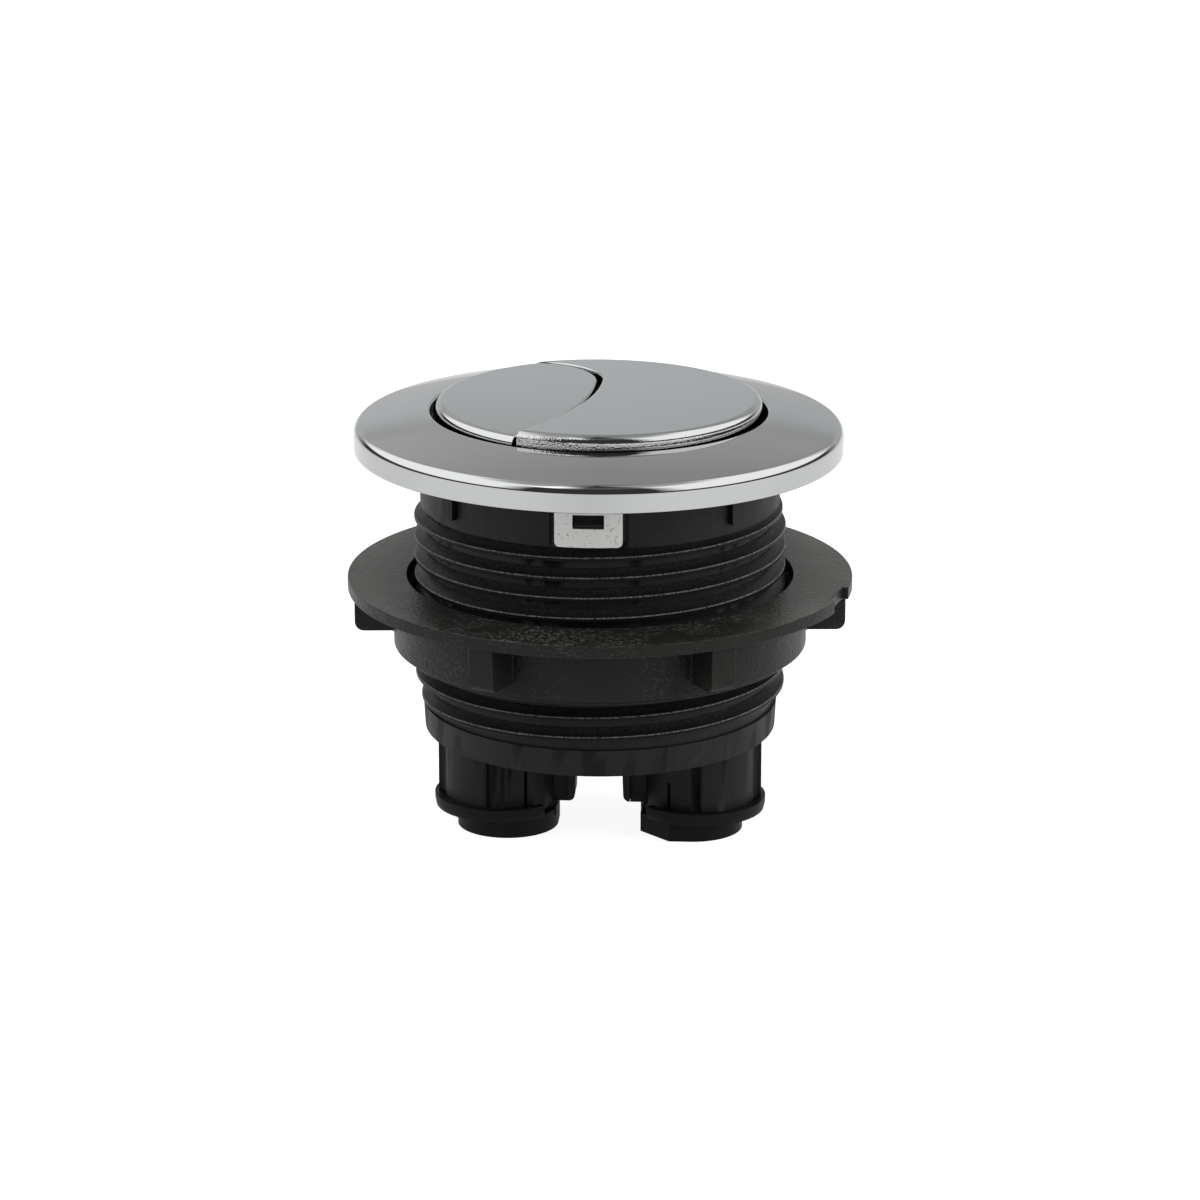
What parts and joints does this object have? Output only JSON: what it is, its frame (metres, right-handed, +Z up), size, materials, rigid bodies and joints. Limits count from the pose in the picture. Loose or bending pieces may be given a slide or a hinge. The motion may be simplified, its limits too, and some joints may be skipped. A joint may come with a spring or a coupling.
{
  "type": "dual flush push button",
  "caption": "Round chromed push-button unit with a half and a full flush button on a black threaded body, with a flanged lock nut that clamps it in a cistern lid.",
  "frame": {"origin": "on the unit's axis, level with the underside of the bezel where it sits on the cistern lid", "axes": "+Z up out of the lid, -X towards the half flush button, -Y towards the front snap tab"},
  "size_m": [0.0764, 0.0764, 0.0681],
  "materials": {
    "bezel_chrome": "mirror chrome over a cast ring, dull on the tabs",
    "button_chrome": "mirror chrome",
    "body_plastic": "satin black moulded plastic",
    "nut_plastic": "scuffed satin black moulded plastic",
    "spring_steel": "drawn stainless wire"
  },
  "bodies": {
    "body": {"housing": "body_plastic", "bezel": "bezel_chrome", "half_spring": "spring_steel", "full_spring": "spring_steel"},
    "half_press": {"half_button": "button_chrome", "half_plunger": "body_plastic", "half_foot": "body_plastic"},
    "full_press": {"full_button": "button_chrome", "full_plunger": "body_plastic", "full_foot": "body_plastic"},
    "nut": {"lock_nut": "nut_plastic"}
  },
  "joints": [
    {"name": "half_push", "type": "slide", "parent": "body", "child": "half_press", "axis": [0, 0, -1], "range_m": [0, 0.007], "stiffness_N_per_m": 300, "springref_m": -0.01, "deforming": ["half_spring"]},
    {"name": "full_push", "type": "slide", "parent": "body", "child": "full_press", "axis": [0, 0, -1], "range_m": [0, 0.007], "stiffness_N_per_m": 300, "springref_m": -0.01, "deforming": ["full_spring"]},
    {"name": "nut_travel", "type": "slide", "parent": "body", "child": "nut", "axis": [0, 0, 1], "range_m": [-0.008, 0.0143]}
  ]
}
